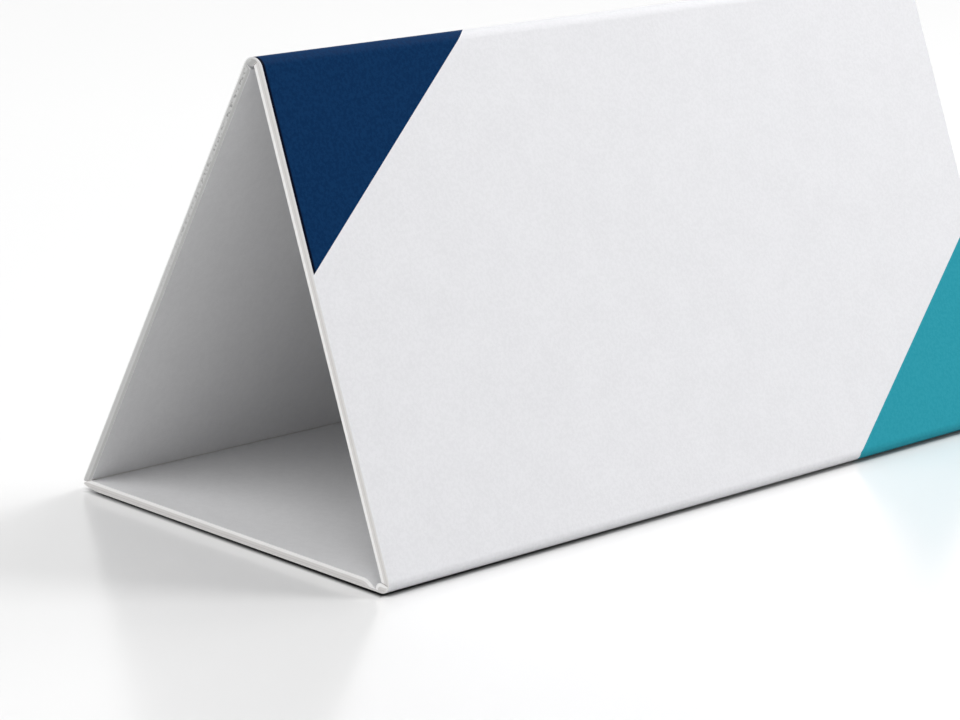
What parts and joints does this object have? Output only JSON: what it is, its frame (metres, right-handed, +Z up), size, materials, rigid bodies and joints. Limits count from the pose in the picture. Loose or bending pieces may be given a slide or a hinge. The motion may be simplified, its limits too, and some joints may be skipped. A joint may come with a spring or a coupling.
{
  "type": "tent card",
  "caption": "Free-standing tent card: stiff white board folded into a closed triangular tube, with creased folds, a glued back seam and plain colour fields in opposite corners of the front.",
  "frame": {"origin": "on the floor under the middle of the card", "axes": "+X along the ridge, -Y the side that the printed front panel faces, +Z up"},
  "size_m": [0.21, 0.0866, 0.0968],
  "materials": {
    "white_board": "matt white, finely embossed"
  },
  "bodies": {
    "root": {"folded_board": "white_board"}
  },
  "joints": []
}
